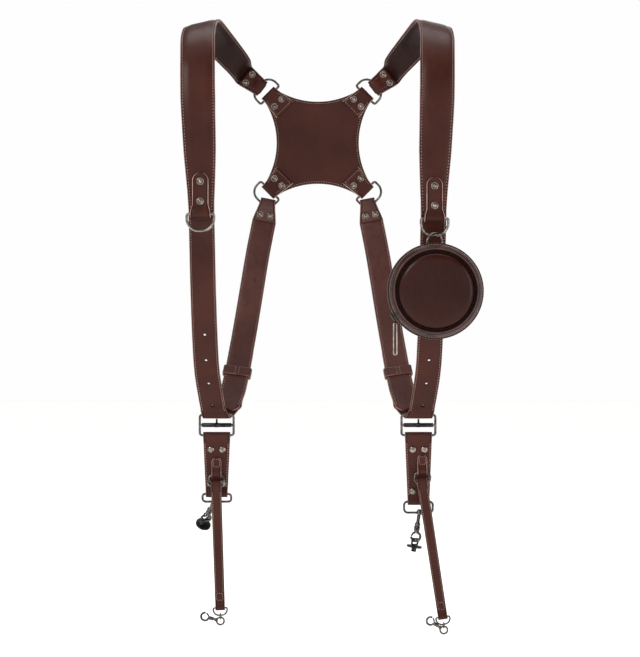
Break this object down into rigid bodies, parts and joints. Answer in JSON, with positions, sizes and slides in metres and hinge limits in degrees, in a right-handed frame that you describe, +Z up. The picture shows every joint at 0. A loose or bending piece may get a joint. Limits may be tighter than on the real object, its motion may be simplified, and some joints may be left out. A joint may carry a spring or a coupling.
{
  "type": "dual camera harness",
  "caption": "Brown leather two-camera harness: padded shoulder straps, back pad with rings, buckled straps, two swivel hooks, safety tethers and a round zip pouch.",
  "frame": {"origin": "between the shoulders, level with the underside of the shoulder straps at the chest side", "axes": "+Z up, +Y from the wearer's chest to the back, +X to the right of the front view"},
  "size_m": [0.3396, 0.2401, 0.7124],
  "materials": {
    "strap_leather": "satin",
    "pouch_leather": "satin",
    "gunmetal": "polished",
    "blackened_steel": "satin",
    "zip_tape": "matte"
  },
  "bodies": {
    "harness": {"back_pad": "strap_leather", "left_back_strap": "strap_leather", "left_buckle_frame": "gunmetal", "left_buckle_prong": "blackened_steel", "left_camera_tab": "strap_leather", "left_clasp": "gunmetal", "left_end_ring": "gunmetal", "left_front_strap": "strap_leather", "left_keeper": "strap_leather", "left_link": "gunmetal", "left_ring_tab": "strap_leather", "left_shoulder_strap": "strap_leather", "left_tether": "strap_leather", "left_tether_ring": "gunmetal", "left_tether_tab": "strap_leather", "lower_left_pad_ring": "gunmetal", "lower_left_pad_tab": "strap_leather", "lower_right_pad_ring": "gunmetal", "lower_right_pad_tab": "strap_leather", "right_back_strap": "strap_leather", "right_buckle_frame": "gunmetal", "right_buckle_prong": "blackened_steel", "right_camera_tab": "strap_leather", "right_clasp": "gunmetal", "right_end_ring": "gunmetal", "right_front_strap": "strap_leather", "right_keeper": "strap_leather", "right_link": "gunmetal", "right_ring_tab": "strap_leather", "right_shoulder_strap": "strap_leather", "right_tether": "strap_leather", "right_tether_ring": "gunmetal", "right_tether_tab": "strap_leather", "upper_left_pad_ring": "gunmetal", "upper_left_pad_tab": "strap_leather", "upper_right_pad_ring": "gunmetal", "upper_right_pad_tab": "strap_leather"},
    "left_loop": {"left_loop": "gunmetal"},
    "left_hook": {"left_hook": "gunmetal", "left_screw_plate": "blackened_steel"},
    "left_hook_lever": {"left_hook_lever": "blackened_steel"},
    "left_clasp_lever": {"left_clasp_lever": "blackened_steel"},
    "right_loop": {"right_loop": "gunmetal"},
    "right_hook": {"right_hook": "gunmetal", "right_screw_plate": "blackened_steel"},
    "right_hook_lever": {"right_hook_lever": "blackened_steel"},
    "right_clasp_lever": {"right_clasp_lever": "blackened_steel"},
    "left_strap_ring": {"left_strap_ring": "gunmetal"},
    "pouch": {"right_strap_ring": "gunmetal", "pouch_ring": "gunmetal", "pouch_loop": "pouch_leather", "pouch_back": "pouch_leather", "pouch_front": "pouch_leather", "pouch_zip": "zip_tape", "zip_slider": "blackened_steel"},
    "zip_pull": {"zip_pull": "gunmetal"}
  },
  "joints": [
    {"name": "left_loop_hinge", "type": "hinge", "parent": "harness", "child": "left_loop", "pos_m": [-0.117, 0.078, -0.54685], "axis": [1, 0, 0], "range_deg": [-40, 35]},
    {"name": "left_hook_swivel", "type": "hinge", "parent": "left_loop", "child": "left_hook", "pos_m": [-0.121, 0.08616, -0.55658], "axis": [0.342, -0.604, 0.7198], "continuous": true},
    {"name": "left_hook_lever_hinge", "type": "hinge", "parent": "left_hook", "child": "left_hook_lever", "pos_m": [-0.13277, 0.10015, -0.57325], "axis": [0, -0.766, -0.6428], "range_deg": [0, 25], "stiffness_Nm_per_rad": 0.01},
    {"name": "left_clasp_lever_hinge", "type": "hinge", "parent": "harness", "child": "left_clasp_lever", "pos_m": [-0.12546, 0.06614, -0.68669], "axis": [0, -1, 0], "range_deg": [0, 25], "stiffness_Nm_per_rad": 0.005},
    {"name": "right_loop_hinge", "type": "hinge", "parent": "harness", "child": "right_loop", "pos_m": [0.117, 0.078, -0.55585], "axis": [1, 0, 0], "range_deg": [0, 75]},
    {"name": "right_hook_swivel", "type": "hinge", "parent": "right_loop", "child": "right_hook", "pos_m": [0.118, 0.078, -0.56855], "axis": [0.1478, 0, 0.989], "continuous": true},
    {"name": "right_hook_lever_hinge", "type": "hinge", "parent": "right_hook", "child": "right_hook_lever", "pos_m": [0.11081, 0.078, -0.59223], "axis": [0, -1, 0], "range_deg": [0, 25], "stiffness_Nm_per_rad": 0.01},
    {"name": "right_clasp_lever_hinge", "type": "hinge", "parent": "harness", "child": "right_clasp_lever", "pos_m": [0.13479, 0.06615, -0.69326], "axis": [0, -1, 0], "range_deg": [0, 25], "stiffness_Nm_per_rad": 0.005},
    {"name": "left_ring_hinge", "type": "hinge", "parent": "harness", "child": "left_strap_ring", "pos_m": [-0.13092, -0.0069, -0.227], "axis": [-1, 0, 0], "range_deg": [0, 120]},
    {"name": "right_ring_hinge", "type": "hinge", "parent": "harness", "child": "pouch", "pos_m": [0.13092, -0.0069, -0.232], "axis": [-1, 0, 0], "range_deg": [0, 45]},
    {"name": "zip_pull_hinge", "type": "hinge", "parent": "pouch", "child": "zip_pull", "pos_m": [0.08587, -0.03, -0.34926], "axis": [-1, 0, 0], "range_deg": [0, 80]}
  ]
}
